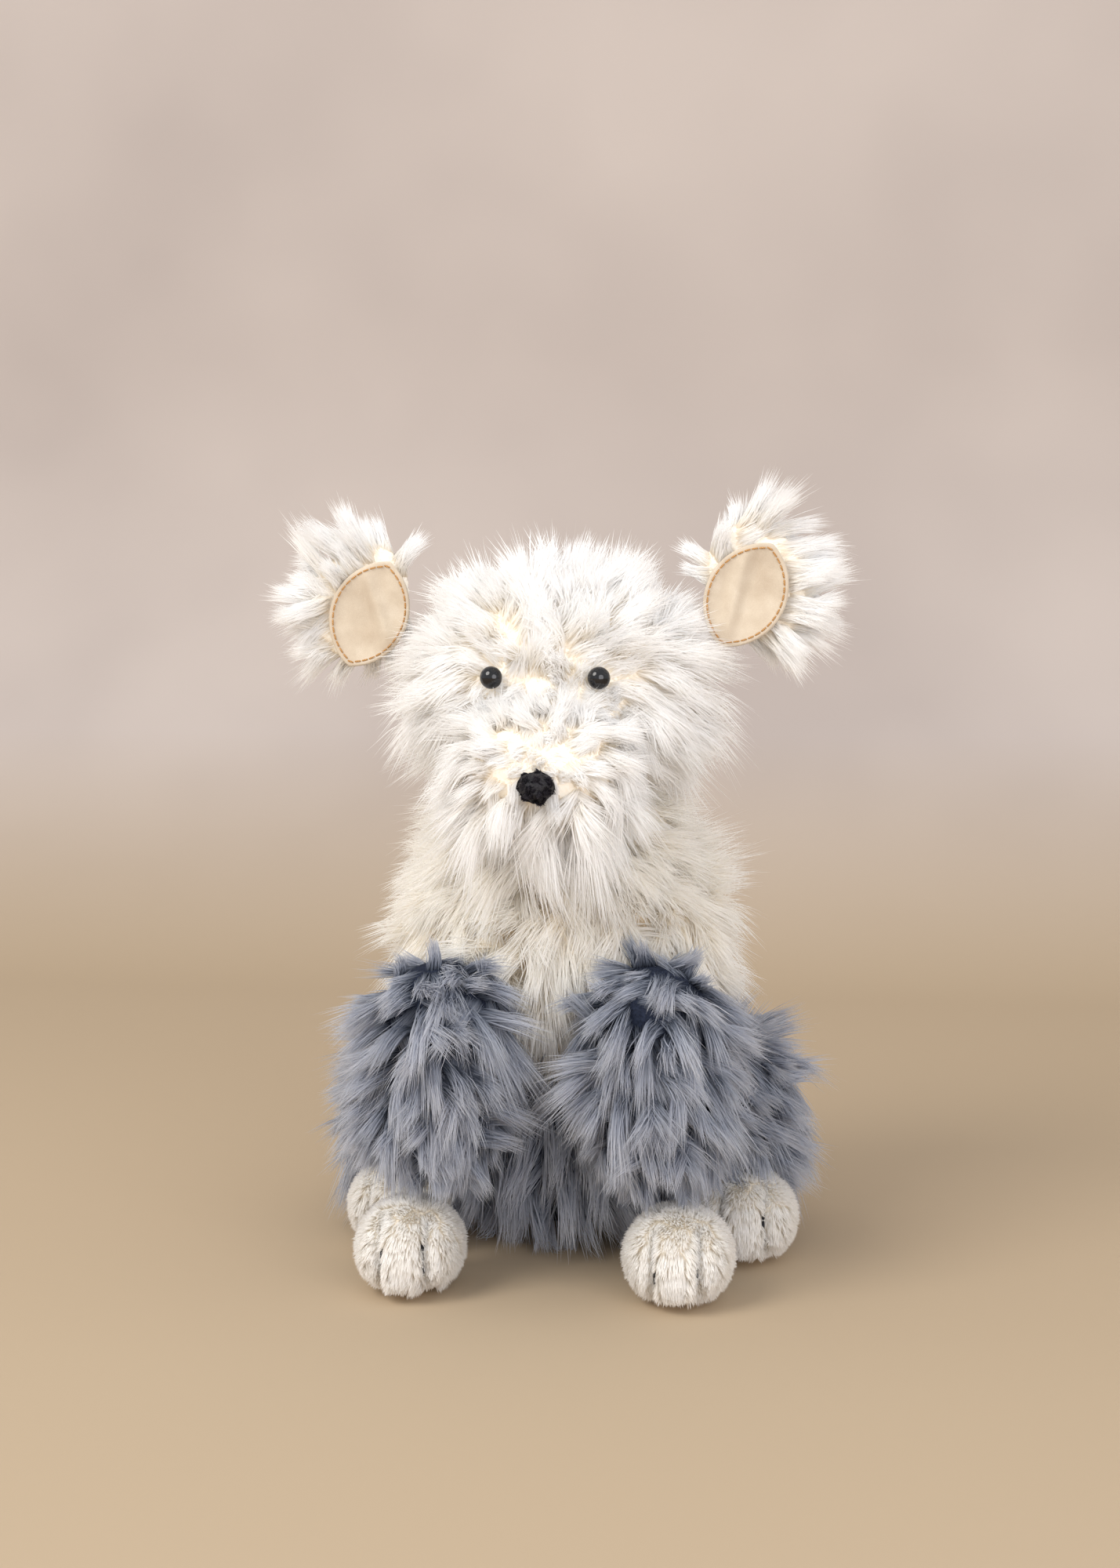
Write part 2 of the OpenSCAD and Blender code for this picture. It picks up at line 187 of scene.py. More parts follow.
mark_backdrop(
    lamp("key", (-1.1, -1.3, 1.5), 1.2, 29, "fffbf5"),
    lamp("fill", (0.9, -1.6, 0.5), 1.4, 17, "fbfaff"),
)
world = bpy.data.worlds.new("sky")
bpy.context.scene.world = world
world.use_nodes = True
world.node_tree.nodes["Background"].inputs["Color"].default_value = linear("f7f8fa")
world.node_tree.nodes["Background"].inputs["Strength"].default_value = 0.95
bpy.context.scene.view_settings.view_transform = "Standard"
bpy.context.scene.cycles.diffuse_bounces = 10  # pale pile passes light on from hair to hair many times

azimuth, tilt = math.radians(7.0), math.radians(5.0)
distance, eye_level, sideways, ahead = 0.908, 0.280, -0.0005, 0.042
lens = bpy.data.cameras.new("camera")
lens.lens = 50
lens.sensor_width = 36
camera = add_object("camera", lens)
camera.location = (
    math.sin(azimuth) * distance + math.cos(azimuth) * sideways,
    -math.cos(azimuth) * distance + math.sin(azimuth) * sideways - ahead,
    eye_level,
)
camera.rotation_euler = (math.radians(90) - tilt, 0, azimuth)
bpy.context.scene.camera = camera

# ---------------------------------------------------------------------------------------------------------
# Torso: a stuffed bag of grey pile cloth with a white upper part, flat where it sits. The pile is long,
# and falls outwards and down in soft locks. It grows from a skin that stands for the backing cloth.

BACKING = 11 * MM  # how far the backing cloth lies inside the pile's outer surface


def middle(node, half_z):
    """The middle of a rounded node whose top is whole, from its box and its half height."""
    low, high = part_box(node)
    return Vector(((low[0] + high[0]) / 2, (low[1] + high[1]) / 2, high[2] - half_z))


def egg(bm, centre, half, tilt=(0, 0, 0)):
    """Adds a closed ellipsoid to a bmesh."""
    turn = Euler([math.radians(a) for a in tilt]).to_matrix().to_4x4()
    place = Matrix.Translation(centre) @ turn @ Matrix.Diagonal((*half, 1))
    bmesh.ops.create_icosphere(bm, subdivisions=4, radius=1, matrix=place)


def blended(name, eggs, voxel=4 * MM, soften=6, floor=None):
    """One smooth closed skin round several ellipsoids, pressed flat at floor."""
    bm = bmesh.new()
    for parts in eggs:
        egg(bm, *parts)
    rough = bpy.data.meshes.new(name)
    bm.to_mesh(rough)
    bm.free()
    made = add_object(name, rough)
    wrap = made.modifiers.new("wrap", "REMESH")
    wrap.mode = "VOXEL"
    wrap.voxel_size = voxel
    ease = made.modifiers.new("ease", "SMOOTH")
    ease.iterations = soften
    ease.factor = 0.5
    made.data = bpy.data.meshes.new_from_object(made.evaluated_get(bpy.context.evaluated_depsgraph_get()))
    made.modifiers.clear()
    if floor is not None:
        for v in made.data.vertices:
            v.co.z = max(v.co.z, floor)
    made.data.polygons.foreach_set("use_smooth", [True] * len(made.data.polygons))
    return made


def unit(v):
    return v / max(v.length, 1e-9)


def comb(skin, rule):
    """Stores how the pile lies on a skin. rule(point, normal) gives the way the hair runs, how steeply it
    stands in degrees, its length in metres and how much of the cloth it covers there."""
    mesh = skin.data
    ways, lengths, covers = [], [], []
    for v in mesh.vertices:
        way, steep, length, cover = rule(v.co.copy(), v.normal.copy())
        along = unit(way - v.normal * way.dot(v.normal))
        a = math.radians(steep)
        ways += list(along * math.cos(a) + v.normal * math.sin(a))
        lengths.append(length)
        covers.append(cover)
    mesh.attributes.new("comb", "FLOAT_VECTOR", "POINT").data.foreach_set("vector", ways)
    mesh.attributes.new("reach", "FLOAT", "POINT").data.foreach_set("value", lengths)
    mesh.attributes.new("cover", "FLOAT", "POINT").data.foreach_set("value", covers)


def strand(name, segments):
    """A hair with all its corners at one point: along and side say where each belongs."""
    along, side, faces = [], [], []
    for i in range(segments):
        along += [i / segments] * 2
        side += [-1.0, 1.0]
    along.append(1.0)
    side.append(0.0)
    for i in range(segments - 1):
        faces.append((2 * i, 2 * i + 1, 2 * i + 3, 2 * i + 2))
    faces.append((2 * segments - 2, 2 * segments - 1, 2 * segments))
    mesh = bpy.data.meshes.new(name)
    mesh.from_pydata([(0, 0, 0)] * len(along), [], faces)
    mesh.attributes.new("along", "FLOAT", "POINT").data.foreach_set("value", along)
    mesh.attributes.new("side", "FLOAT", "POINT").data.foreach_set("value", side)
    return bpy.data.objects.new(name, mesh)


def pile_tree():
    """Geometry nodes that grow a pile on a skin: hairs gather in locks, bend, and fall."""
    tree = bpy.data.node_groups.new("pile", "GeometryNodeTree")
    face = tree.interface
    face.new_socket("Geometry", in_out="OUTPUT", socket_type="NodeSocketGeometry")
    face.new_socket("Skin", in_out="INPUT", socket_type="NodeSocketGeometry")
    for name in ("Density", "Lock Gap", "Gather", "Mess", "Stray", "Fall", "Wave", "Width", "Floor", "Point"):
        face.new_socket(name, in_out="INPUT", socket_type="NodeSocketFloat")
    face.new_socket("Seed", in_out="INPUT", socket_type="NodeSocketInt")
    face.new_socket("Strand", in_out="INPUT", socket_type="NodeSocketObject")
    face.new_socket("Material", in_out="INPUT", socket_type="NodeSocketMaterial")
    given = put(tree, "NodeGroupInput").outputs

    def vector(operation, a, b=None, scale=None):
        links = {0: a}
        if b is not None:
            links[1] = b
        if scale is not None:
            links["Scale"] = scale
        return put(tree, "ShaderNodeVectorMath", {"operation": operation}, links)

    def number(operation, a, b=0.0):
        return put(tree, "ShaderNodeMath", {"operation": operation}, {0: a, 1: b})

    def named(name, kind="FLOAT"):
        return put(tree, "GeometryNodeInputNamedAttribute", {"data_type": kind}, {"Name": name})

    def chance(seed, low, high, kind="FLOAT"):
        return put(tree, "FunctionNodeRandomValue", {"data_type": kind}, {
            "Min": low, "Max": high, "Seed": number("ADD", given["Seed"], float(seed))})

    def store(geometry, name, value, kind="FLOAT_VECTOR", domain="POINT"):
        return put(tree, "GeometryNodeStoreNamedAttribute", {"data_type": kind, "domain": domain}, {
            "Geometry": geometry, "Name": name, "Value": value})

    ball_low, ball_high = (-1.0, -1.0, -1.0), (1.0, 1.0, 1.0)
    locks = put(tree, "GeometryNodeDistributePointsOnFaces", {"distribute_method": "POISSON"}, {
        "Mesh": given["Skin"], "Distance Min": given["Lock Gap"], "Density Max": 60000.0,
        "Density Factor": named("cover"), "Seed": given["Seed"]})
    turned = vector("SCALE", chance(11, ball_low, ball_high, "FLOAT_VECTOR"), scale=given["Mess"])
    lock_way = vector("NORMALIZE", vector("ADD", named("comb", "FLOAT_VECTOR"), turned))
    lock_size = number("SUBTRACT", 1.1, number("MULTIPLY", chance(12, 0.0, 0.7), given["Point"]))
    lock_tone = chance(13, 0.0, 1.0)
    lock_wave = chance(14, ball_low, ball_high, "FLOAT_VECTOR")
    stored = store(locks.outputs["Points"], "way", lock_way)
    stored = store(stored, "size", lock_size, "FLOAT")
    stored = store(stored, "tone", lock_tone, "FLOAT")
    stored = store(stored, "wave", lock_wave)

    hairs = put(tree, "GeometryNodeDistributePointsOnFaces", {"distribute_method": "RANDOM"}, {
        "Mesh": given["Skin"], "Density": number("MULTIPLY", given["Density"], named("cover")),
        "Seed": number("ADD", given["Seed"], 5.0)})
    spot = put(tree, "GeometryNodeInputPosition")
    near = put(tree, "GeometryNodeSampleNearest", {"domain": "POINT"}, {"Geometry": stored, "Sample Position": spot})

    def of_lock(value, kind="FLOAT_VECTOR"):
        return put(tree, "GeometryNodeSampleIndex", {"data_type": kind, "domain": "POINT"}, {
            "Geometry": stored, "Value": value, "Index": near})

    normal = hairs.outputs["Normal"]
    to_lock = vector("SUBTRACT", of_lock(spot), spot)
    aside = number("DIVIDE", vector("LENGTH", to_lock).outputs["Value"], given["Lock Gap"])
    point = number("MULTIPLY", number("SUBTRACT", 1.12, number("MULTIPLY", aside, given["Point"])), chance(21, 0.8, 1.08))
    length = number("MULTIPLY", named("reach"), number("MULTIPLY", of_lock(named("size"), "FLOAT"), point))
    own = vector("SCALE", chance(22, ball_low, ball_high, "FLOAT_VECTOR"), scale=given["Stray"])
    way = vector("NORMALIZE", vector("ADD", of_lock(named("way", "FLOAT_VECTOR")), own))
    gather = vector("SCALE", to_lock, scale=number("MULTIPLY", given["Gather"], chance(26, 0.8, 1.1)))
    down = put(tree, "ShaderNodeCombineXYZ", links={"Z": -1.0})
    into = put(tree, "ShaderNodeMath", {"operation": "MINIMUM"}, {0: vector("DOT_PRODUCT", down, normal).outputs["Value"], 1: 0.0})
    fall = vector("SUBTRACT", down, vector("SCALE", normal, scale=into))
    fall = vector("SCALE", fall, scale=number("MULTIPLY", given["Fall"], length))
    wave = vector("SCALE", of_lock(named("wave", "FLOAT_VECTOR")), scale=number("MULTIPLY", given["Wave"], length))
    flat = vector("CROSS_PRODUCT", way, vector("ADD", normal, vector("SCALE", chance(23, ball_low, ball_high, "FLOAT_VECTOR"), scale=0.7)))
    across = vector("SCALE", vector("NORMALIZE", flat), scale=number("MULTIPLY", given["Width"], chance(24, 0.7, 1.3)))
    tone = number("ADD", number("MULTIPLY", of_lock(named("tone"), "FLOAT"), 0.55), chance(25, 0.0, 0.45))

    points = store(hairs.outputs["Points"], "h_gather", gather)
    points = store(points, "h_way", vector("SCALE", way, scale=length))
    points = store(points, "h_fall", fall)
    points = store(points, "h_wave", wave)
    points = store(points, "h_across", across)
    points = store(points, "h_tone", tone, "FLOAT")
    info = put(tree, "GeometryNodeObjectInfo", links={"Object": given["Strand"]})
    grown = put(tree, "GeometryNodeInstanceOnPoints", links={"Points": points, "Instance": info.outputs["Geometry"]})
    grown = put(tree, "GeometryNodeRealizeInstances", links={0: grown})

    t = named("along")
    t2 = number("MULTIPLY", t, t)
    closing = number("POWER", t, 1.25)
    sway = number("MULTIPLY", t, put(tree, "ShaderNodeMath", {"operation": "SINE"}, {0: number("MULTIPLY", t, 5.0)}))
    taper = number("MULTIPLY", named("side"), number("SUBTRACT", 1.0, number("MULTIPLY", t2, 0.6)))
    move = vector("SCALE", named("h_gather", "FLOAT_VECTOR"), scale=closing)
    for name, amount in (("h_way", t), ("h_fall", t2), ("h_wave", sway), ("h_across", taper)):
        move = vector("ADD", move, vector("SCALE", named(name, "FLOAT_VECTOR"), scale=amount))
    target = put(tree, "ShaderNodeSeparateXYZ", links={0: vector("ADD", put(tree, "GeometryNodeInputPosition"), move)})
    lifted = put(tree, "ShaderNodeMath", {"operation": "MAXIMUM"}, {0: target.outputs["Z"], 1: given["Floor"]})
    target = put(tree, "ShaderNodeCombineXYZ", links={"X": target.outputs["X"], "Y": target.outputs["Y"], "Z": lifted})
    grown = put(tree, "GeometryNodeSetPosition", links={"Geometry": grown, "Position": target})
    u = number("ADD", number("MULTIPLY", named("h_tone"), 0.94), number("MULTIPLY", named("side"), 0.02))
    uv = put(tree, "ShaderNodeCombineXYZ", links={"X": number("ADD", u, 0.03), "Y": number("ADD", number("MULTIPLY", t, 0.96), 0.02)})
    grown = store(grown, "OFBake", uv, "FLOAT2", "CORNER")
    for pattern in ("h_*", "along", "side", "comb", "reach", "cover"):
        grown = put(tree, "GeometryNodeRemoveAttribute", {"pattern_mode": "WILDCARD" if "*" in pattern else "EXACT"}, {
            "Geometry": grown, "Name": pattern})
    grown = put(tree, "GeometryNodeRealizeInstances", links={0: grown})
    grown = put(tree, "GeometryNodeSetMaterial", links={"Geometry": grown, "Material": given["Material"]})
    put(tree, "NodeGroupOutput", links={0: grown})
    return tree


PILE = pile_tree()
HAIR = strand("hair", 3)
SPARE = 1.0


def grow(name, skin, body, coat, seed, density, keep=None, lock=6 * MM, gather=0.85, mess=0.5, stray=0.16,
         fall=0.25, wave=0.1, width=0.25 * MM, point=0.55):
    """Grows a pile on a skin as a plain mesh that rides on body. density is in hairs a square millimetre,
    and keep(point) says which part of the skin this piece covers."""
    base = skin.data.copy()
    if keep:
        cover = base.attributes["cover"].data
        for v in base.vertices:
            if not keep(v.co):
                cover[v.index].value = 0.0
    made = add_object(name, base)
    growth = made.modifiers.new("growth", "NODES")
    growth.node_group = PILE
    values = {
        "Density": density / MM ** 2 * SPARE, "Lock Gap": lock, "Gather": gather, "Mess": mess, "Stray": stray,
        "Fall": fall, "Wave": wave, "Width": width, "Point": point, "Floor": 0.6 * MM, "Seed": seed, "Strand": HAIR, "Material": coat}
    for socket in PILE.interface.items_tree:
        if socket.name in values:
            growth[socket.identifier] = values[socket.name]
    made.data = bpy.data.meshes.new_from_object(made.evaluated_get(bpy.context.evaluated_depsgraph_get()))
    made.modifiers.clear()
    made.data.polygons.foreach_set("use_smooth", [True] * len(made.data.polygons))
    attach(made, body)
    print(name, len(made.data.polygons), sum(len(p.vertices) - 2 for p in made.data.polygons))
    return made


def pile_material(name, roots, tips, dark_share=0.0):
    """Pile fibre: each hair runs from a root colour to a tip colour, and hairs differ in tone. In the pale and
    grey piles the darker root end is painted shade, standing for the shadow deep in the pile; the tips carry
    the fibre's own colour. Acrylic fibre scatters light through itself, so part of what falls on one side
    leaves by the other."""
    made, tree = material(name)
    uv = put(tree, "ShaderNodeUVMap", {"uv_map": "OFBake"})
    parts = put(tree, "ShaderNodeSeparateXYZ", links={0: uv})
    # painted shade: both ramps run from a darker root end to the fibre's own colour at the tip
    dark = ramp(tree, parts.outputs["Y"], roots)
    light = ramp(tree, parts.outputs["Y"], tips)
    colour = put(tree, "ShaderNodeMix", {"data_type": "RGBA"}, {"Factor": parts.outputs["X"], "A": dark, "B": light})
    fibre = put(tree, "ShaderNodeBsdfPrincipled", links={"Base Color": colour, "Roughness": 0.6, "Specular IOR Level": 0.15})
    through = put(tree, "ShaderNodeBsdfTranslucent", links={"Color": colour})
    mixed = put(tree, "ShaderNodeMixShader", links={0: 0.6, 1: fibre, 2: through})
    finish_surface(tree, mixed)
    return made


def cloth_material(name, dark, light, scale=900.0):
    """Backing cloth seen between the roots of the pile: a close knit in two near tones."""
    made, tree = material(name)
    where = put(tree, "ShaderNodeTexCoord")
    grain = put(tree, "ShaderNodeTexNoise", links={"Vector": where.outputs["Object"], "Scale": scale, "Detail": 4.0})
    colour = ramp(tree, grain.outputs[0], [(0.3, dark), (0.7, light)])
    weave = put(tree, "ShaderNodeBsdfPrincipled", links={"Base Color": colour, "Roughness": 0.95, "Specular IOR Level": 0.1})
    finish_surface(tree, weave)
    return made


# The darker first stops, at the roots, are painted shade deep in the pile; the later stops are the fibre's own colour.
white_fibre = pile_material("white_acrylic_pile",
    [(0.0, "f3ebdc"), (0.2, "faf7f1"), (0.5, "fdfcfb"), (1.0, "fefefe")],
    [(0.0, "f8f2e8"), (0.2, "fdfbf8"), (0.5, "fefefe"), (1.0, "ffffff")])
# Cream pile: its tan roots are painted shade in the deep gaps of the chest and neck pile.
cream_fibre = pile_material("cream_acrylic_pile",
    [(0.0, "ecdcbd"), (0.25, "f8f1e2"), (0.6, "fdfaf5"), (1.0, "fefdfa")],
    [(0.0, "f1e4ca"), (0.2, "fcf7ed"), (0.5, "fefdfa"), (1.0, "fffffe")])
# Blue-grey pile: its near-black slate roots are painted shade for the dark gaps between the locks.
grey_fibre = pile_material("blue_grey_acrylic_pile",
    [(0.0, "343b47"), (0.25, "727a8a"), (0.6, "adb3c0"), (1.0, "ccd0da")],
    [(0.0, "4f5766"), (0.2, "989fae"), (0.5, "cbcfd9"), (1.0, "eeeff3")])
white_cloth = cloth_material("cream_backing_knit", "f1e9da", "f9f4ea")
# The grey backing's near-black slate is painted shade, standing for the deep shadow between the grey locks.
grey_cloth_painted_shade = cloth_material("grey_backing_knit_painted_shade", "181d29", "2a3040")

seat_low, seat_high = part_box("lower_body_cover")
chest_low, chest_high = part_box("upper_body_cover")
seat_mid = Vector((0, 0, 62)) * MM
seat_half = Vector((66, 70, 70)) * MM
chest_mid = Vector((0, -32, 138)) * MM
chest_half = Vector((71, 56, 62)) * MM
inset = Vector((1, 1, 1)) * BACKING
COLOUR_SEAM = seat_high[2]

torso_skin = blended("torso_cloth", [
    (seat_mid, seat_half - inset),
    (chest_mid, chest_half - inset),
], floor=0.4 * MM)
torso_skin.data.materials.append(grey_cloth_painted_shade)
torso_skin.data.materials.append(white_cloth)


def bib(p):
    """Height of the colour seam: lower at the middle of the chest, where a bib reaches down."""
    front = max(0.0, 1 - (p.x / (34 * MM)) ** 2) if p.y < seat_mid.y - 42 * MM else 0.0
    return COLOUR_SEAM - 26 * MM * front


for face in torso_skin.data.polygons:
    face.material_index = 1 if face.center.z > bib(face.center) else 0


def torso_lie(p, n):
    out = Vector((p.x, (p.y + 12 * MM) * 0.8, 0))
    wander = noise.noise_vector(p * 28)
    way = unit(out) * 0.55 + Vector((0, 0, -1)) + wander * 0.7
    under = p.z < 4 * MM or n.z < -0.75
    behind = min(1.0, max(0.0, (p.y - 20 * MM) / (30 * MM)))
    flank = min(1.0, abs(n.x) * 1.3) * (1 - behind)
    return way, 30 + 14 * flank - 8 * behind, (30 - 7 * behind) * MM, 0.0 if under else 1.0


comb(torso_skin, torso_lie)
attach(torso_skin, "torso")
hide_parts("lower_body_cover", "upper_body_cover", "body_stuffing", "bean_bag_cover", "bean_pellets")
grow("seat_pile", torso_skin, "torso", grey_fibre, 3, 0.6, lambda p: p.z <= bib(p), lock=7 * MM, mess=0.5)
grow("chest_pile_left", torso_skin, "torso", cream_fibre, 7, 1.9, lambda p: p.z > bib(p) and p.x >= 0, mess=1.0,
     gather=0.62, stray=0.3, width=0.3 * MM)
grow("chest_pile_right", torso_skin, "torso", cream_fibre, 8, 1.9, lambda p: p.z > bib(p) and p.x < 0, mess=1.0,
     gather=0.62, stray=0.3, width=0.3 * MM)

# ---------------------------------------------------------------------------------------------------------
# Neck: a short stuffed dome of the same white cloth, sewn to the chest and turning with the head.

neck_low, neck_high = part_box("neck_cover")
neck_mid = Vector(((neck_low[0] + neck_high[0]) / 2, (neck_low[1] + neck_high[1]) / 2, neck_high[2] - 57 * MM))
neck_skin = blended("neck_cloth", [(neck_mid, Vector((1, 1, 1)) * (57 * MM - BACKING))])
for v in neck_skin.data.vertices:
    v.co.z = max(v.co.z, neck_low[2] - 4 * MM)
neck_skin.data.materials.append(white_cloth)


def neck_lie(p, n):
    out = Vector((p.x, p.y - neck_mid.y, 0))
    way = unit(out) * 0.35 + Vector((0, 0, -1)) + noise.noise_vector(p * 28) * 0.6
    return way, 34 + 12 * abs(n.x), 31 * MM, 0.0 if n.z < -0.5 or p.z > neck_high[2] - 8 * MM else 1.0


comb(neck_skin, neck_lie)
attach(neck_skin, "neck")
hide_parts("neck_cover", "neck_stuffing")
grow("neck_pile", neck_skin, "neck", cream_fibre, 15, 1.9, mess=1.0, gather=0.62, stray=0.3, fall=0.4, width=0.3 * MM)

# ---------------------------------------------------------------------------------------------------------
# Head: a stuffed ball with the muzzle sewn on in front. The pile runs back from the nose, over the brow
# and cheeks, is short and fuzzy on the muzzle's top, and hangs as a beard below the nose.

head_low, head_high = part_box("head_cover")
head_half = Vector((64, 58, 55)) * MM
head_mid = Vector((0, (head_low[1] + head_high[1]) / 2, head_high[2] - head_half.z))
muzzle_low, muzzle_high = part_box("muzzle_cover")
muzzle_half = Vector((39, 35, 30)) * MM
muzzle_mid = Vector((0, muzzle_low[1] + muzzle_half.y, muzzle_low[2] + muzzle_half.z))
nose_low, nose_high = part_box("nose")
nose_mid = Vector((0, nose_low[1] + 5 * MM, (nose_low[2] + nose_high[2]) / 2))
eyes = {side: (Vector(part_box("eye_" + side)[0]) + Vector(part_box("eye_" + side)[1])) / 2 for side in ("left", "right")}

head_skin = blended("head_cloth", [
    (head_mid, head_half - inset),
    (muzzle_mid, muzzle_half - inset * 0.75),
], voxel=3.5 * MM, soften=5)
head_skin.data.materials.append(white_cloth)


def muzzle_share(p):
    """1 on the muzzle, falling to 0 on the head."""
    d = Vector([(p - muzzle_mid)[i] / muzzle_half[i] for i in range(3)]).length
    return min(1.0, max(0.0, (1.35 - d) / 0.35))


def head_lie(p, n):
    source = nose_mid + Vector((0, -6, 6)) * MM
    way = unit(p - source)
    m = muzzle_share(p)
    wander = noise.noise_vector(p * 32)
    below = min(1.0, max(0.0, (nose_mid.z + 2 * MM - p.z) / (10 * MM)))
    way = way + wander * (0.55 if m < 0.5 else 0.35)
    way = way + Vector((0, -0.15, -1.6)) * below
    cheek = min(1.0, max(0.0, (head_mid.z + 18 * MM - p.z) / (40 * MM)))
    way = way + Vector((0, 0, -0.5)) * cheek * (1 - m)
    crown = min(1.0, max(0.0, (p.z - head_mid.z - 15 * MM) / (30 * MM)))
    side = min(1.0, abs(p.x) / (26 * MM))
    length = (31 - 6 * crown) * MM * (1 - m) + m * ((15 + 7 * side) * MM + 20 * MM * below)
    near_eye = min((p - e).length for e in eyes.values())
    over_eye = p.z > eyes["left"].z - 3 * MM
    length *= min(1.0, (0.42 if over_eye else 0.3) + 0.7 * max(0.0, near_eye - 6 * MM) / ((12 if over_eye else 7) * MM))
    near_nose = (p - nose_mid).length
    length *= min(1.0, 0.5 + 0.5 * max(0.0, near_nose - 8 * MM) / (12 * MM)) if below < 0.5 else 1.0
    ahead = min(1.0, max(0.0, (-n.y - 0.55) / 0.35)) * m
    length *= 1 - 0.5 * ahead
    steep = 42 * (1 - m) + (56 - 16 * ahead) * m * (1 - below) + 28 * m * below
    cover = 1.0
    if near_eye < 3 * MM or near_nose < 4 * MM:
        cover = 0.0
    if n.z < -0.8 and p.y > head_mid.y - 20 * MM:
        cover = 0.0
    return way, steep - 4 * (1 - m), length, cover


comb(head_skin, head_lie)
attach(head_skin, "head")
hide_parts("head_cover", "muzzle_cover", "head_stuffing", "eye_washer_left", "eye_washer_right", "nose_washer")


def on_muzzle(p):
    return muzzle_share(p) >= 0.5


grow("head_pile_left", head_skin, "head", white_fibre, 21, 2.3, lambda p: p.x >= 0 and not on_muzzle(p), lock=5 * MM, gather=0.6,
     mess=0.75, stray=0.3, width=0.28 * MM)
grow("head_pile_right", head_skin, "head", white_fibre, 22, 2.3, lambda p: p.x < 0 and not on_muzzle(p), lock=5 * MM, gather=0.6,
     mess=0.75, stray=0.3, width=0.28 * MM)
grow("muzzle_pile", head_skin, "head", white_fibre, 23, 3.8, on_muzzle, lock=3.5 * MM, gather=0.5, mess=1.0,
     stray=0.3, fall=0.4, wave=0.15, width=0.26 * MM)

# ---------------------------------------------------------------------------------------------------------
# Eyes: black plastic domes on stems, pushed through the cloth and locked behind it. Nose: a matt black
# rounded cap, wide above and narrow below, held in the same way.


def gloss_black():
    made, tree = material("black_eye_plastic")
    where = put(tree, "ShaderNodeTexCoord")
    haze = put(tree, "ShaderNodeTexNoise", links={"Vector": where.outputs["Object"], "Scale": 300.0})
    colour = ramp(tree, haze.outputs[0], [(0.3, "0b0b0e"), (0.7, "15161a")])
    shell = put(tree, "ShaderNodeBsdfPrincipled", links={"Base Color": colour, "Roughness": 0.08, "IOR": 1.49})
    finish_surface(tree, shell)
    return made


def matt_black():
    made, tree = material("black_nose_flock")
    where = put(tree, "ShaderNodeTexCoord")
    grain = put(tree, "ShaderNodeTexNoise", links={"Vector": where.outputs["Object"], "Scale": 1800.0, "Detail": 3.0})
    colour = ramp(tree, grain.outputs[0], [(0.3, "0c0b0d"), (0.7, "242228")])
    bump = put(tree, "ShaderNodeBump", links={"Height": grain.outputs[0], "Distance": 0.0004, "Strength": 0.8})
    shell = put(tree, "ShaderNodeBsdfPrincipled", links={
        "Base Color": colour, "Roughness": 0.62, "Specular IOR Level": 0.35, "Normal": bump})
    finish_surface(tree, shell)
    return made


eye_plastic, nose_flock = gloss_black(), matt_black()
for side, sign in (("left", 1), ("right", -1)):
    low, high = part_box("eye_" + side)
    bm = bmesh.new()
    bmesh.ops.create_uvsphere(bm, u_segments=40, v_segments=24, radius=1)
    dome = bpy.data.meshes.new("eye_dome_" + side)
    place = Vector(((low[0] + high[0]) / 2 + sign * 0.8 * MM, low[1] + 4.8 * MM, (low[2] + high[2]) / 2))
    turn = Euler((0, 0, math.radians(14 * sign))).to_matrix().to_4x4()
    bm.transform(Matrix.Translation(place) @ turn @ Matrix.Diagonal((4.5 * MM, 4 * MM, 4.5 * MM, 1)))
    bm.to_mesh(dome)
    bm.free()
    dome.polygons.foreach_set("use_smooth", [True] * len(dome.polygons))
    dome.materials.append(eye_plastic)
    eye = add_object("eye_dome_" + side, dome)
    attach(eye, "head")
    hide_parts("eye_" + side)

bm = bmesh.new()
bmesh.ops.create_uvsphere(bm, u_segments=48, v_segments=32, radius=1)
for v in bm.verts:
    narrow = 1 - 0.34 * max(0.0, -v.co.z) ** 1.2 + 0.06 * max(0.0, v.co.z)
    v.co.x = math.copysign(abs(v.co.x) ** 0.88, v.co.x) * narrow * 6.9 * MM
    v.co.y *= 8 * MM
    v.co.z = math.copysign(abs(v.co.z) ** 0.88, v.co.z) * 5.8 * MM
    v.co += noise.noise_vector(v.co * 420) * 0.9 * MM
    v.co += Vector((0, nose_low[1] + 8 * MM, nose_mid.z))
cap = bpy.data.meshes.new("nose_cap")
bm.to_mesh(cap)
bm.free()
cap.polygons.foreach_set("use_smooth", [True] * len(cap.polygons))
cap.materials.append(nose_flock)
nose = add_object("nose_cap", cap)
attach(nose, "head")
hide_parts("nose")
nose_fibre = pile_material("black_nose_fibre",
    [(0.0, "0b0a0c"), (0.6, "1d1b20"), (1.0, "3a373d")],
    [(0.0, "141317"), (0.6, "34313a"), (1.0, "77727a")])


def nose_lie(p, n):
    return noise.noise_vector(p * 500) + Vector((0, 0, 0.3)), 40, 2.6 * MM, 1.0 if n.y < 0.2 else 0.0


comb(nose, nose_lie)
grow("nose_fuzz", nose, "head", nose_fibre, 31, 5.0, lock=1.5 * MM, gather=0.6, mess=0.9, stray=0.6, fall=0.0,
     wave=0.4, width=0.2 * MM)

# ---------------------------------------------------------------------------------------------------------
# Ears: two flat stuffed leaves, long pile outside and round the rim, and a brushed suedette lining inside
# that is turned under and topstitched in tan thread. Each folds on the seam that joins it to the head.

EAR_WIDE, EAR_HIGH = 60 * MM, 76 * MM  # from the seam to the outer edge, and along the seam
LINING_WIDE, LINING_HIGH = 32 * MM, 46 * MM
LINING_MID = Vector((17, 3, 0)) * MM


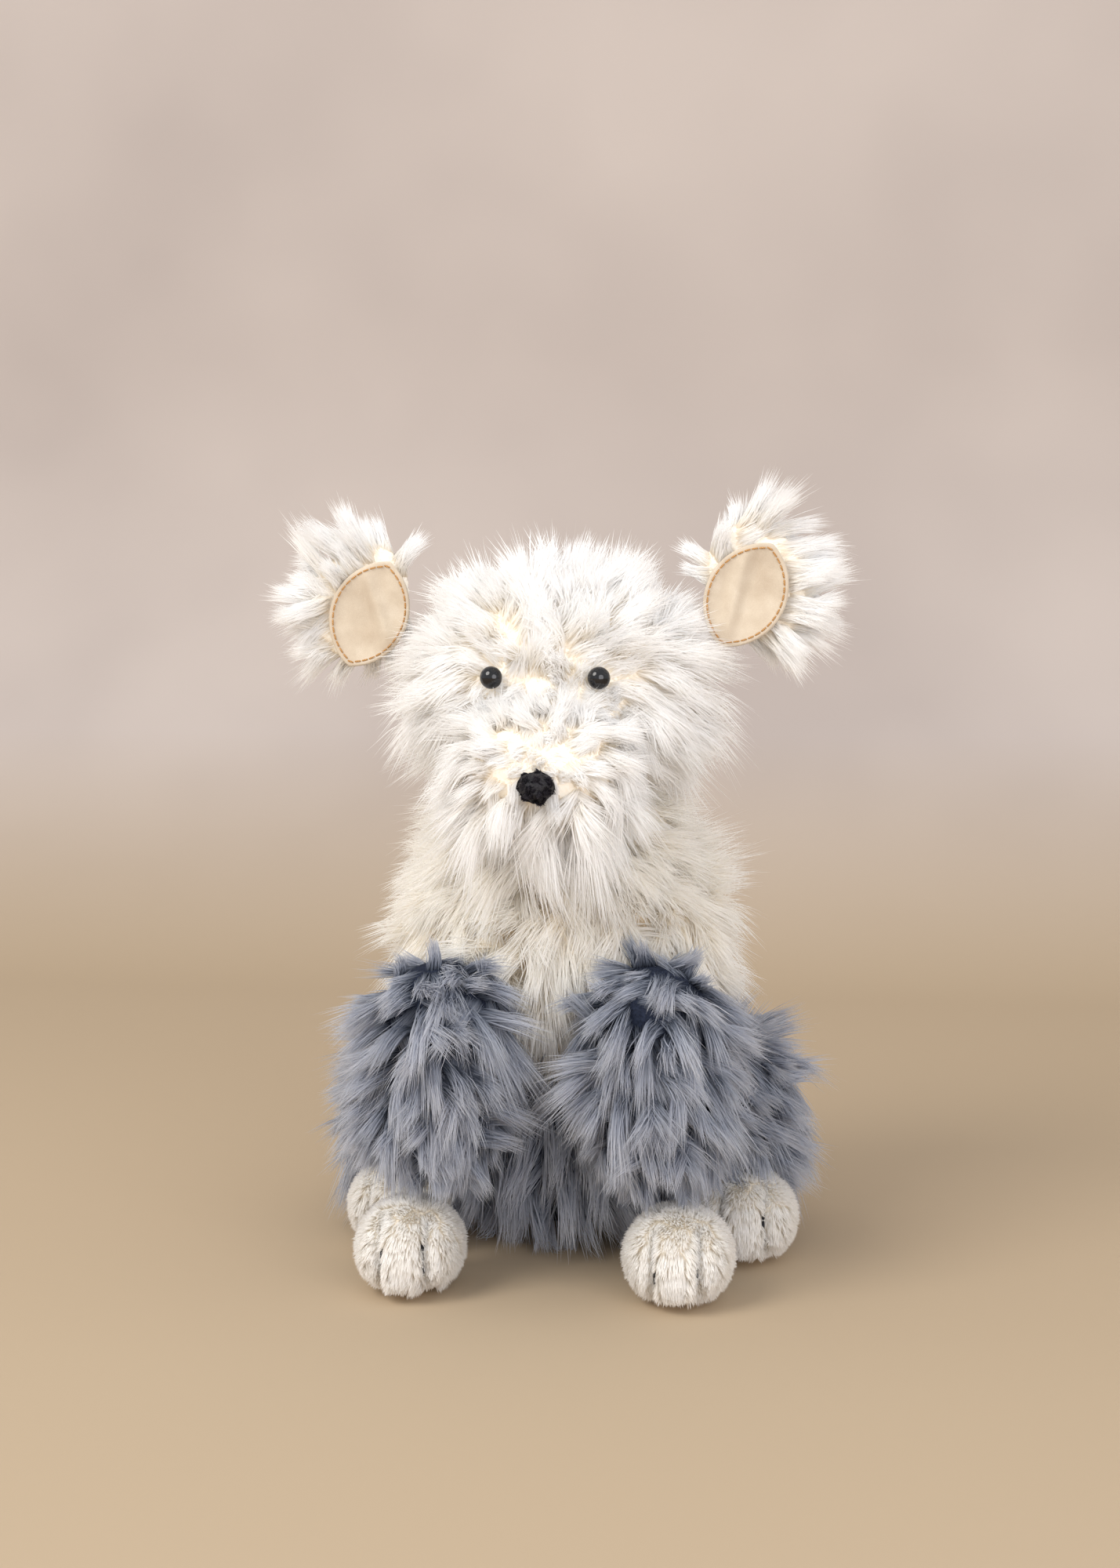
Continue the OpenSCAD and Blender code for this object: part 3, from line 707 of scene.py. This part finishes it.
def suedette_material():
    """Beige brushed microfibre: soft mottling, a fine nap and a faint sheen at grazing light."""
    made, tree = material("beige_suedette")
    where = put(tree, "ShaderNodeTexCoord")
    cloud = put(tree, "ShaderNodeTexNoise", links={"Vector": where.outputs["Object"], "Scale": 90.0, "Detail": 3.0})
    nap = put(tree, "ShaderNodeTexNoise", links={"Vector": where.outputs["Object"], "Scale": 2600.0, "Detail": 2.0})
    tint = put(tree, "ShaderNodeMath", {"operation": "MULTIPLY_ADD"}, {0: nap.outputs[0], 1: 0.3, 2: 0.0})
    factor = put(tree, "ShaderNodeMath", {"operation": "MULTIPLY_ADD"}, {0: cloud.outputs[0], 1: 0.7, 2: tint})
    colour = ramp(tree, factor, [(0.3, "b9a893"), (0.55, "c9bba7"), (0.75, "d8ccbb")])
    bump = put(tree, "ShaderNodeBump", links={"Height": nap.outputs[0], "Distance": 0.00015, "Strength": 0.6})
    suede = put(tree, "ShaderNodeBsdfPrincipled", links={
        "Base Color": colour, "Roughness": 0.88, "Specular IOR Level": 0.2, "Sheen Weight": 0.35,
        "Sheen Roughness": 0.5, "Normal": bump})
    finish_surface(tree, suede)
    return made


def thread_material(name, dark, light):
    """Twisted sewing thread: two tones that wind round it."""
    made, tree = material(name)
    where = put(tree, "ShaderNodeTexCoord")
    ply = put(tree, "ShaderNodeTexWave", {"bands_direction": "DIAGONAL"}, {
        "Vector": where.outputs["Object"], "Scale": 700.0, "Distortion": 1.0})
    colour = ramp(tree, ply.outputs[0], [(0.2, dark), (0.8, light)])
    twist = put(tree, "ShaderNodeBsdfPrincipled", links={
        "Base Color": colour, "Roughness": 0.7, "Specular IOR Level": 0.3})
    finish_surface(tree, twist)
    return made


def capsule(name, length, thick):
    """One stitch, lying along Z."""
    bm = bmesh.new()
    bmesh.ops.create_uvsphere(bm, u_segments=8, v_segments=6, radius=thick / 2)
    for v in bm.verts:
        v.co.z += math.copysign(length / 2 - thick / 2, v.co.z) if abs(v.co.z) > thick / 8 else 0.0
    mesh = bpy.data.meshes.new(name)
    bm.to_mesh(mesh)
    bm.free()
    mesh.polygons.foreach_set("use_smooth", [True] * len(mesh.polygons))
    return bpy.data.objects.new(name, mesh)


def stitch_tree():
    """Geometry nodes that lay stitches end to end along a line of edges."""
    tree = bpy.data.node_groups.new("stitches", "GeometryNodeTree")
    face = tree.interface
    face.new_socket("Geometry", in_out="OUTPUT", socket_type="NodeSocketGeometry")
    face.new_socket("Line", in_out="INPUT", socket_type="NodeSocketGeometry")
    face.new_socket("Pitch", in_out="INPUT", socket_type="NodeSocketFloat")
    face.new_socket("Stitch", in_out="INPUT", socket_type="NodeSocketObject")
    face.new_socket("Material", in_out="INPUT", socket_type="NodeSocketMaterial")
    given = put(tree, "NodeGroupInput").outputs
    line = put(tree, "GeometryNodeMeshToCurve", links={"Mesh": given["Line"]})
    spaced = put(tree, "GeometryNodeCurveToPoints", {"mode": "LENGTH"}, {"Curve": line, "Length": given["Pitch"]})
    turn = put(tree, "FunctionNodeAlignRotationToVector", {"axis": "Z"}, {"Vector": spaced.outputs["Tangent"]})
    info = put(tree, "GeometryNodeObjectInfo", links={"Object": given["Stitch"]})
    laid = put(tree, "GeometryNodeInstanceOnPoints", links={
        "Points": spaced, "Instance": info.outputs["Geometry"], "Rotation": turn})
    laid = put(tree, "GeometryNodeRealizeInstances", links={0: laid})
    laid = put(tree, "GeometryNodeSetMaterial", links={"Geometry": laid, "Material": given["Material"]})
    put(tree, "NodeGroupOutput", links={0: laid})
    return tree


STITCHES = stitch_tree()


def sew(name, points, closed, pitch, stitch, thread, body):
    """Lays stitches along points, as a plain mesh that rides on body."""
    mesh = bpy.data.meshes.new(name)
    ends = [(i, i + 1) for i in range(len(points) - 1)] + ([(len(points) - 1, 0)] if closed else [])
    mesh.from_pydata(points, ends, [])
    made = add_object(name, mesh)
    laid = made.modifiers.new("sewing", "NODES")
    laid.node_group = STITCHES
    values = {"Pitch": pitch, "Stitch": stitch, "Material": thread}
    for socket in STITCHES.interface.items_tree:
        if socket.name in values:
            laid[socket.identifier] = values[socket.name]
    made.data = bpy.data.meshes.new_from_object(made.evaluated_get(bpy.context.evaluated_depsgraph_get()))
    made.modifiers.clear()
    made.data.polygons.foreach_set("use_smooth", [True] * len(made.data.polygons))
    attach(made, body)
    return made


suedette = suedette_material()
tan_thread = thread_material("tan_polyester_thread", "9a6f3f", "c79a63")
long_stitch = capsule("topstitch", 2.6 * MM, 0.75 * MM)


def leaf(angle):
    """Distance of the lining's leaf-shaped edge from its middle at an angle."""
    edge = (LINING_WIDE ** 2 + LINING_HIGH ** 2) / (4 * LINING_WIDE)
    off = (edge - LINING_WIDE / 2) * abs(math.cos(angle))
    return math.sqrt(off ** 2 + (LINING_HIGH / 2) ** 2) - off


def lining_point(share, angle, seed, turn):
    """A point of the lining in the ear's own frame: cupped in the middle, with one soft fold."""
    r = leaf(angle - turn) * share
    x, y = r * math.cos(angle), r * math.sin(angle)
    cup = 5.6 * MM - 3.6 * MM * (1 - share ** 2)
    fold = 2.6 * MM * math.exp(-((x * 0.75 + y * 0.66 + 4 * MM) / (3.2 * MM)) ** 2) * (1 - share ** 4)
    ripple = 0.5 * MM * noise.noise(Vector((x, y, seed * MM)) * 130)
    return Vector((LINING_MID.x + x, LINING_MID.y + y, cup + fold + ripple))


def lining_mesh(name, seed, turn):
    """The lining as one closed piece: its face, the edge that is turned under, and its back."""
    rings, spokes = 18, 96
    rows = [[lining_point(i / rings, 2 * math.pi * j / spokes, seed, turn) for j in range(spokes)]
            for i in range(1, rings + 1)]
    for out, sink in ((0.5, 0.4), (0.7, 1.1), (0.3, 2.4)):
        rows.append([
            p + Vector((math.cos(2 * math.pi * j / spokes) * out, math.sin(2 * math.pi * j / spokes) * out, -sink)) * MM
            for j, p in enumerate(rows[rings - 1])])
    points = [lining_point(0, 0, seed, turn)] + [p for row in rows for p in row]
    faces = [(0, 1 + j, 1 + (j + 1) % spokes) for j in range(spokes)]
    for i in range(len(rows) - 1):
        for j in range(spokes):
            a, b = 1 + i * spokes + j, 1 + i * spokes + (j + 1) % spokes
            faces.append((a, a + spokes, b + spokes, b))
    last = 1 + (len(rows) - 1) * spokes
    points.append(Vector((LINING_MID.x, LINING_MID.y, 1.6 * MM)))
    faces += [(len(points) - 1, last + (j + 1) % spokes, last + j) for j in range(spokes)]
    mesh = bpy.data.meshes.new(name)
    mesh.from_pydata(points, [], faces)
    mesh.polygons.foreach_set("use_smooth", [True] * len(mesh.polygons))
    return mesh


EAR_SKIN = Vector((20.5, 25, 3)) * MM
EAR_SKIN_MID = Vector((23.5, 0, -1.4)) * MM
for side, sign, lift, seed, turn in (("left", 1, 28, 41, math.radians(55)), ("right", -1, 22, 47, 0.0)):
    seam = next(j for j in frame["joints"] if j["name"] == "ear_fold_" + side)
    a = math.radians(lift)
    out, down = Vector((sign * math.cos(a), 0, math.sin(a))), Vector((sign * math.sin(a), 0, -math.cos(a)))
    place = Matrix.Translation(Vector(seam["pos_m"])) @ Matrix((
        (out.x, down.x, 0, 0), (0, 0, -1, 0), (out.z, down.z, 0, 0), (0, 0, 0, 1)))
    back = place.inverted()
    flip = sign < 0

    skin = blended("ear_cloth_" + side, [(EAR_SKIN_MID, EAR_SKIN)], voxel=1.5 * MM, soften=2)
    skin.data.transform(place)
    if place.determinant() < 0:
        skin.data.flip_normals()
    skin.data.materials.append(white_cloth)

    def ear_lie(p, n):
        q = back @ p
        flat = Vector((q.x - 12 * MM, q.y, 0))
        far_out = min(1.0, flat.length / (26 * MM))
        way = place.to_3x3() @ (unit(flat) + Vector((0.25, 0.1, 0))) + noise.noise_vector(p * 45) * 0.55
        face = (back.to_3x3() @ n).z > 0.3
        spot = Vector((q.x - LINING_MID.x, q.y - LINING_MID.y, 0))
        inside = spot.length < leaf(math.atan2(spot.y, spot.x) - turn) * 0.95
        length = (13 + 14 * far_out) * MM
        return way, 26 if not face else 22, length, 0.0 if face and inside else 1.0

    comb(skin, ear_lie)
    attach(skin, "ear_" + side)
    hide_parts("ear_back_" + side)
    grow("ear_pile_" + side, skin, "ear_" + side, white_fibre, seed, 7.0, lock=4 * MM, gather=0.7,
         mess=0.5, stray=0.2, fall=0.1, width=0.22 * MM)

    cloth = lining_mesh("ear_lining_" + side, seed, turn)
    cloth.transform(place)
    if place.determinant() < 0:
        cloth.flip_normals()
    cloth.materials.append(suedette)
    lining = add_object("ear_suedette_" + side, cloth)
    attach(lining, "ear_" + side)
    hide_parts("ear_lining_" + side)
    line = [place @ (lining_point(0.93, 2 * math.pi * j / 160, seed, turn) + Vector((0, 0, 0.25 * MM)))
            for j in range(160)]
    seam_line = sew("ear_topstitch_" + side, line, True, 3.1 * MM, long_stitch, tan_thread, "ear_" + side)
    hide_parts("ear_stitching_" + side)

# ---------------------------------------------------------------------------------------------------------
# Front legs: long stuffed bags of grey pile that hang straight down from the shoulders and end in cuffs of
# pile over the paws. Each swings at its shoulder.

LEG_LEAN = 4  # degrees


def leg_lie_for(mid):
    def leg_lie(p, n):
        out = Vector((p.x - mid.x, p.y - mid.y, 0))
        top = min(1.0, max(0.0, (n.z - 0.2) / 0.6))
        way = unit(out) * (0.4 - 0.3 * top) + Vector((0, -0.7 * top, -1)) + noise.noise_vector(p * 36) * (0.8 - 0.55 * top)
        above_cuff = min(1.0, max(0.0, (p.z - 46 * MM) / (38 * MM)))
        length = 28 * MM * (0.4 + 0.6 * above_cuff) * (1 - 0.3 * top)
        return way, 38 - 8 * top, length, 0.0 if n.z < -0.93 else 1.0

    return leg_lie


for side, sign, seed in (("left", 1, 61), ("right", -1, 67)):
    mid = Vector((sign * 44, -90, 88)) * MM
    skin = blended("front_leg_cloth_" + side, [
        (mid, Vector((33, 32, 54)) * MM - inset, (0, -sign * LEG_LEAN, 0)),
        (mid + Vector((-sign * 1.5, 0, 22)) * MM, Vector((24, 21, 23)) * MM),
        (mid + Vector((sign * 1.5, 0, -18)) * MM, Vector((23, 21, 26)) * MM),
    ], voxel=3 * MM, soften=5)
    skin.data.materials.append(grey_cloth_painted_shade)
    comb(skin, leg_lie_for(mid))
    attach(skin, "front_leg_" + side)
    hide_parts("front_leg_cover_" + side, "front_leg_stuffing_" + side)
    grow("front_leg_pile_" + side, skin, "front_leg_" + side, grey_fibre, seed, 2.6, lock=4.6 * MM,
         gather=0.76, mess=1.1, stray=0.2, fall=0.35, wave=0.14, width=0.22 * MM)

# ---------------------------------------------------------------------------------------------------------
# Hind legs: round stuffed thighs of the same grey pile, flat where they lie on the seat's sides. Each
# lifts a little about its hip.


def thigh_lie_for(sign, mid):
    def thigh_lie(p, n):
        out = Vector((p.x - (mid.x - sign * 20 * MM), (p.y - mid.y) * 0.5, 0))
        way = unit(out) * 0.4 + Vector((0, 0.1, -1)) + noise.noise_vector(p * 34) * 0.85
        inner = n.x * sign < -0.8
        under = p.z < 16 * MM
        return way, 34, (28 if not under else 14) * MM, 0.0 if inner else 1.0

    return thigh_lie


for side, sign, seed in (("left", 1, 71), ("right", -1, 77)):
    mid = Vector((sign * 67, -2, 52)) * MM
    skin = blended("thigh_cloth_" + side, [(mid, Vector((37, 50, 50)) * MM - inset)], voxel=3.5 * MM, soften=3)
    for v in skin.data.vertices:
        v.co.x = sign * max(v.co.x * sign, 50 * MM)
    skin.data.materials.append(grey_cloth_painted_shade)
    comb(skin, thigh_lie_for(sign, mid))
    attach(skin, "hind_leg_" + side)
    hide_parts("thigh_cover_" + side, "thigh_stuffing_" + side)
    grow("thigh_pile_" + side, skin, "hind_leg_" + side, grey_fibre, seed, 1.8, lock=5 * MM, gather=0.84,
         mess=1.1, stray=0.2, fall=0.35, wave=0.14)

# ---------------------------------------------------------------------------------------------------------
# Paws: small bean-filled bags of short cream plush, flat underneath, with two toe grooves drawn in by
# black thread. The front pair hangs from the legs and the hind pair from the thighs.

# Short plush: its slightly darker root stops are painted shade deep in the pile.
short_fibre = pile_material("short_white_plush",
    [(0.0, "f1ece3"), (0.4, "f9f7f3"), (1.0, "fefdfc")],
    [(0.0, "f6f2eb"), (0.4, "fdfcfa"), (1.0, "ffffff")])
black_thread = thread_material("black_polyester_thread", "0a0a0c", "2a2a2f")
short_stitch = capsule("toe_stitch", 3.4 * MM, 1.3 * MM)
PAW_HALF = Vector((23, 26, 21)) * MM
PLUSH = 3.6 * MM  # how far the backing lies inside the plush
TOE_AT = 9.2 * MM  # the grooves' distance from the middle of the paw
GROOVE = 4.2 * MM  # how deep the thread draws a groove in


def groove(q):
    """How deep a toe groove draws the cloth in at a point measured from the paw's middle."""
    reach = min(1.0, max(0.0, (-q.y - 4 * MM) / (9 * MM))) * min(1.0, max(0.0, (q.z + 15 * MM) / (5 * MM)))
    return GROOVE * reach * max(math.exp(-((q.x - s * TOE_AT) / (2.1 * MM)) ** 2) for s in (-1, 1))


def paw_lie_for(mid):
    def paw_lie(p, n):
        q = p - mid
        way = Vector((q.x * 8, -0.9, 0.1 - max(0.0, -q.y / PAW_HALF.y) * 1.1)) + noise.noise_vector(p * 60) * 0.2
        drawn = groove(q) / GROOVE
        return way, 42, (4.3 - 2.2 * drawn) * MM, 0.0 if n.z < -0.7 and q.z < -14 * MM else 1.0

    return paw_lie


for body, out, fwd, seed in (
        ("front_leg_left", 54, 100, 81), ("front_leg_right", -54, 100, 83),
        ("hind_leg_left", 78, 40, 87), ("hind_leg_right", -70, 40, 89)):
    which, side = body.split("_leg_")
    mid = Vector((out, -fwd, 19)) * MM
    skin = blended(f"{which}_paw_cloth_{side}", [(mid, PAW_HALF - Vector((1, 1, 1)) * PLUSH)],
                   voxel=1.3 * MM, soften=2, floor=0.5 * MM)
    for v in skin.data.vertices:
        q = v.co - mid
        v.co -= unit(q) * groove(q)
    skin.data.update()
    skin.data.materials.append(white_cloth)
    comb(skin, paw_lie_for(mid))
    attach(skin, body)
    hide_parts(f"{which}_paw_cover_{side}", f"{which}_paw_beans_{side}")
    grow(f"{which}_paw_plush_{side}", skin, body, short_fibre, seed, 3.5, lock=2 * MM, gather=0.0, mess=0.03,
         stray=0.1, fall=0.1, wave=0.0, width=0.3 * MM, point=0.0)
    surface = PAW_HALF - Vector((1, 1, 1)) * (PLUSH - 0.6 * MM)
    for n, toe in enumerate((-1, 1)):
        line = []
        for k in range(24):
            a = math.radians(-26 + 44 * k / 23)
            x = toe * TOE_AT
            ring = math.sqrt(1 - (x / surface.x) ** 2)
            spot = Vector((x, -surface.y * ring * math.cos(a), surface.z * ring * math.sin(a)))
            line.append(mid + spot - unit(spot) * groove(spot) * 0.6)
        laid = sew(f"{which}_toe_thread_{side}_{n + 1}", line, False, 3.6 * MM, short_stitch, black_thread, body)
        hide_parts(f"{which}_toe_threads_{side}")

for name in ("eye_washer_left", "eye_washer_right", "nose_washer"):
    frame["nodes"][name].hide_render = True

low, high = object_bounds()
